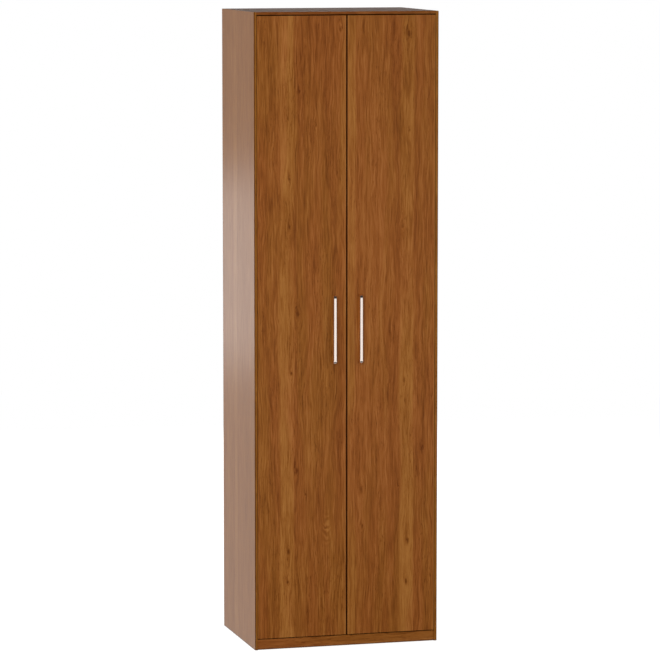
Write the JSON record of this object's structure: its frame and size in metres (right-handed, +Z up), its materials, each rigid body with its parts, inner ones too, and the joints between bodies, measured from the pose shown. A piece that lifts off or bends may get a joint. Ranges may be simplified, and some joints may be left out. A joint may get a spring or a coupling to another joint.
{
  "type": "wardrobe",
  "caption": "Tall narrow free-standing wardrobe with inset flat doors on concealed hinges, bow handles, hat shelf, hanging rail and low plinth.",
  "frame": {"origin": "centre of the bounding box's bottom face, on the floor; the box includes the handles", "axes": "+X to the wardrobe's right as one faces it, +Y from the doors to the back, +Z up"},
  "size_m": [0.7, 0.5174, 2.35],
  "materials": {
    "walnut_laminate": "satin walnut-grain laminate on chipboard",
    "hardboard": "painted hardboard",
    "beech": "plain beech",
    "plastic_strip": "brown extruded plastic",
    "chrome": "polished",
    "steel": "nickel-plated"
  },
  "bodies": {
    "carcass": {"left_side_panel": "walnut_laminate", "right_side_panel": "walnut_laminate", "top_panel": "walnut_laminate", "bottom_panel": "walnut_laminate", "front_plinth": "walnut_laminate", "rear_plinth": "walnut_laminate", "hat_shelf": "walnut_laminate", "upper_back_panel": "hardboard", "lower_back_panel": "hardboard", "back_joint_strip": "plastic_strip", "hanging_rail": "chrome", "left_rail_socket": "chrome", "right_rail_socket": "chrome", "rail_socket_screws": "steel", "dowels": "beech", "cam_bolts": "steel", "cam_discs": "steel", "plinth_brackets": "steel", "bracket_screws": "steel", "left_hinge_arms": "steel", "right_hinge_arms": "steel", "left_arm_screws": "steel", "right_arm_screws": "steel", "left_mounting_plates": "steel", "right_mounting_plates": "steel", "left_plate_screws": "steel", "right_plate_screws": "steel"},
    "left_door": {"left_door": "walnut_laminate", "left_handle": "chrome", "left_handle_screws": "steel", "left_hinge_cups": "steel", "left_cup_screws": "steel", "left_hinge_pins": "steel"},
    "right_door": {"right_door": "walnut_laminate", "right_handle": "chrome", "right_handle_screws": "steel", "right_hinge_cups": "steel", "right_cup_screws": "steel", "right_hinge_pins": "steel"}
  },
  "joints": [
    {"name": "left_door_hinge", "type": "hinge", "parent": "carcass", "child": "left_door", "pos_m": [-0.3224, -0.22375, 0], "axis": [0, 0, -1], "range_deg": [0, 95]},
    {"name": "right_door_hinge", "type": "hinge", "parent": "carcass", "child": "right_door", "pos_m": [0.3224, -0.22375, 0], "axis": [0, 0, 1], "range_deg": [0, 95]}
  ]
}
